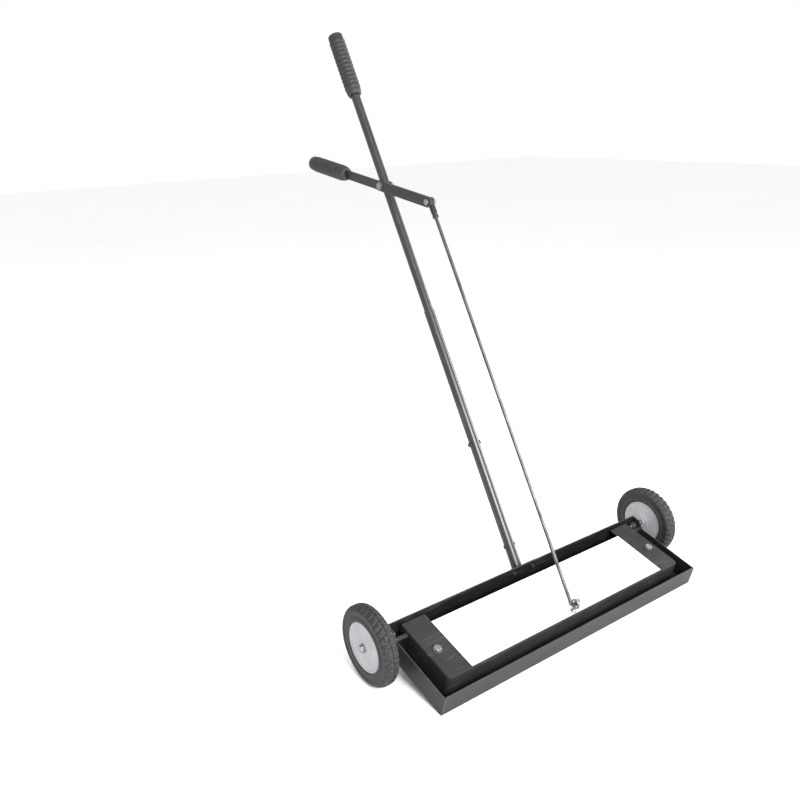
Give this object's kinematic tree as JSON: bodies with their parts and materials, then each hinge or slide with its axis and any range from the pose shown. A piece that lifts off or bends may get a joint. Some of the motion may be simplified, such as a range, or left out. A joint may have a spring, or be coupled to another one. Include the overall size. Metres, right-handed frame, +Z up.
{
  "type": "magnetic nail sweeper",
  "caption": "Walk-behind magnetic nail sweeper: shallow tray on side wheels, magnet carrier that tilts up on a hand lever and pull rod, leaning tube handle.",
  "frame": {"origin": "bottom centre of the whole machine as it stands parked on its wheels and the front edge of its tray", "axes": "+X across the sweeper to its right, +Y from the front of the tray towards the hand grips, +Z up"},
  "size_m": [0.9248, 1.0224, 1.3112],
  "materials": {
    "black_oxide": "black oxide finish",
    "bush_nylon": "natural nylon",
    "carrier_paint": "satin black paint over folded steel",
    "dark_steel": "plain steel, lightly oiled",
    "ferrite": "bare ferrite magnet",
    "grip_rubber": "matt moulded rubber",
    "hub_plastic": "light grey moulded plastic",
    "label_film": "blank white vinyl label",
    "mild_plate": "plain mild steel plate",
    "powder_coat": "satin black powder coat over steel sheet",
    "tube_paint": "semi-gloss black enamel over steel tube",
    "tyre_rubber": "matt solid rubber",
    "zinc": "bright zinc plating"
  },
  "bodies": {
    "frame": {"tray_channel": "powder_coat", "tray_end_left": "powder_coat", "tray_end_right": "powder_coat", "handle_socket": "powder_coat", "socket_bolts": "black_oxide", "socket_nuts": "black_oxide", "handle_lower_tube": "tube_paint", "handle_upper_tube": "tube_paint", "handle_cross_pin": "black_oxide", "handle_joint_bolt": "black_oxide", "handle_joint_nut": "black_oxide", "handle_grip": "grip_rubber", "lever_pivot_bolt": "zinc", "lever_pivot_washers": "zinc", "lever_pivot_nut": "zinc", "hinge_pins": "dark_steel", "hinge_spacers": "black_oxide", "hinge_clips": "dark_steel", "axle_bolts": "zinc", "axle_washers": "zinc", "axle_spacers": "zinc", "axle_nuts": "zinc"},
    "carrier": {"magnet_cover": "carrier_paint", "label_plate": "label_film", "cover_bolts": "zinc", "cover_bolt_washers": "zinc", "cover_spacers": "dark_steel", "backing_plate": "mild_plate", "magnet_blocks": "ferrite", "lift_eye": "zinc", "lift_eye_nut": "zinc"},
    "lever": {"lever_bar": "tube_paint", "lever_grip": "grip_rubber", "rod_pin_bolt": "zinc", "rod_pin_nut": "zinc"},
    "rod": {"rod_top_eye": "black_oxide", "rod_lock_nut": "black_oxide", "pull_rod": "dark_steel", "rod_washer": "zinc", "rod_split_pin": "zinc"},
    "wheel_left": {"tyre_left": "tyre_rubber", "hub_left": "hub_plastic", "hub_inner_disc_left": "hub_plastic", "wheel_bush_left": "bush_nylon"},
    "wheel_right": {"tyre_right": "tyre_rubber", "hub_right": "hub_plastic", "hub_inner_disc_right": "hub_plastic", "wheel_bush_right": "bush_nylon"}
  },
  "joints": [
    {"name": "carrier_lift", "type": "hinge", "parent": "frame", "child": "carrier", "pos_m": [0, -0.34287, 0.08534], "axis": [-1, 0, 0], "range_deg": [0, 20]},
    {"name": "lever_swing", "type": "hinge", "parent": "frame", "child": "lever", "pos_m": [0, 0.19121, 0.94663], "axis": [-1, 0, 0], "range_deg": [0, 15.6]},
    {"name": "rod_swing", "type": "hinge", "parent": "lever", "child": "rod", "pos_m": [0, 0.00308, 0.92005], "axis": [-1, 0, 0], "range_deg": [-16.2, 0]},
    {"name": "wheel_left_spin", "type": "hinge", "parent": "frame", "child": "wheel_left", "pos_m": [0, -0.32433, 0.0875], "axis": [1, 0, 0], "continuous": true},
    {"name": "wheel_right_spin", "type": "hinge", "parent": "frame", "child": "wheel_right", "pos_m": [0, -0.32433, 0.0875], "axis": [1, 0, 0], "continuous": true}
  ],
  "couplings": [
    {"joint": "lever_swing", "follows": "carrier_lift", "ratio": 0.7737},
    {"joint": "rod_swing", "follows": "carrier_lift", "ratio": -0.8012}
  ]
}
